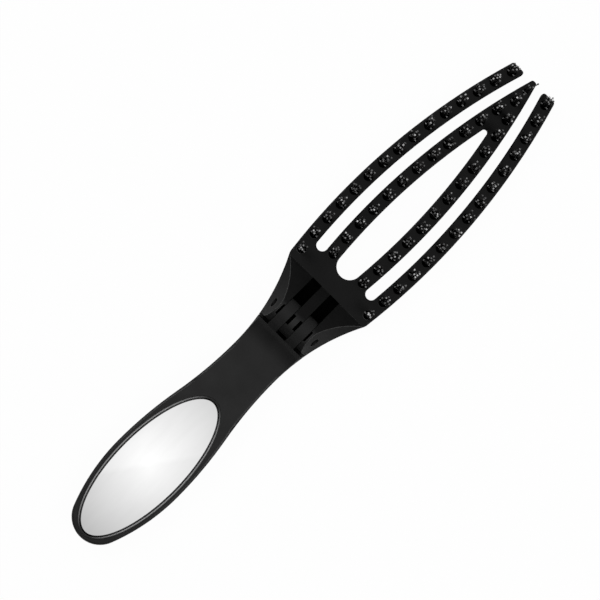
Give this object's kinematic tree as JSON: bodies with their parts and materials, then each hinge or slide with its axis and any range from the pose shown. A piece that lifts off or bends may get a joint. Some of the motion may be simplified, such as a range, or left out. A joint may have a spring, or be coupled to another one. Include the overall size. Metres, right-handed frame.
{
  "type": "folding hair brush",
  "caption": "Folding hair brush: a vented, pronged head with tufts of boar and ball-tipped nylon bristles, hinged to fold forward over an oval mirror in its handle.",
  "frame": {"origin": "on the plane that the flat back rests on, under the middle of the open brush", "axes": "+X along the brush from handle to tip, +Z out of the front where bristles and mirror are, +Y to the left seen from the handle"},
  "size_m": [0.2314, 0.0424, 0.0173],
  "materials": {
    "black_plastic": "satin black moulding",
    "cover_plastic": "satin black moulding",
    "mirror_silver": "polished mirror",
    "tape_foam": "thin adhesive foam",
    "pin_steel": "drawn wire",
    "washer_steel": "dark spring steel",
    "staple_wire": "flat staple wire",
    "boar_hair": "coarse natural bristle",
    "nylon_black": "smooth nylon with round tips"
  },
  "bodies": {
    "handle": {"handle_body": "black_plastic", "handle_back_cover": "cover_plastic", "mirror_plate": "mirror_silver", "mirror_tape": "tape_foam"},
    "head": {"ball_pins_left_inner": "nylon_black", "ball_pins_left_outer": "nylon_black", "ball_pins_right_inner": "nylon_black", "ball_pins_right_outer": "nylon_black", "ball_pins_tip": "nylon_black", "boar_tufts_left_inner": "boar_hair", "boar_tufts_left_outer": "boar_hair", "boar_tufts_right_inner": "boar_hair", "boar_tufts_right_outer": "boar_hair", "boar_tufts_tip": "boar_hair", "friction_washer_left_inner": "washer_steel", "friction_washer_left_outer": "washer_steel", "friction_washer_right_inner": "washer_steel", "friction_washer_right_outer": "washer_steel", "head_frame": "black_plastic", "hinge_pin": "pin_steel", "tuft_anchors_left_inner": "staple_wire", "tuft_anchors_left_outer": "staple_wire", "tuft_anchors_right_inner": "staple_wire", "tuft_anchors_right_outer": "staple_wire", "tuft_anchors_tip": "staple_wire"}
  },
  "joints": [
    {"name": "fold", "type": "hinge", "parent": "handle", "child": "head", "pos_m": [-0.00685, 0, 0.0115], "axis": [0, -1, 0], "range_deg": [0, 176]}
  ]
}
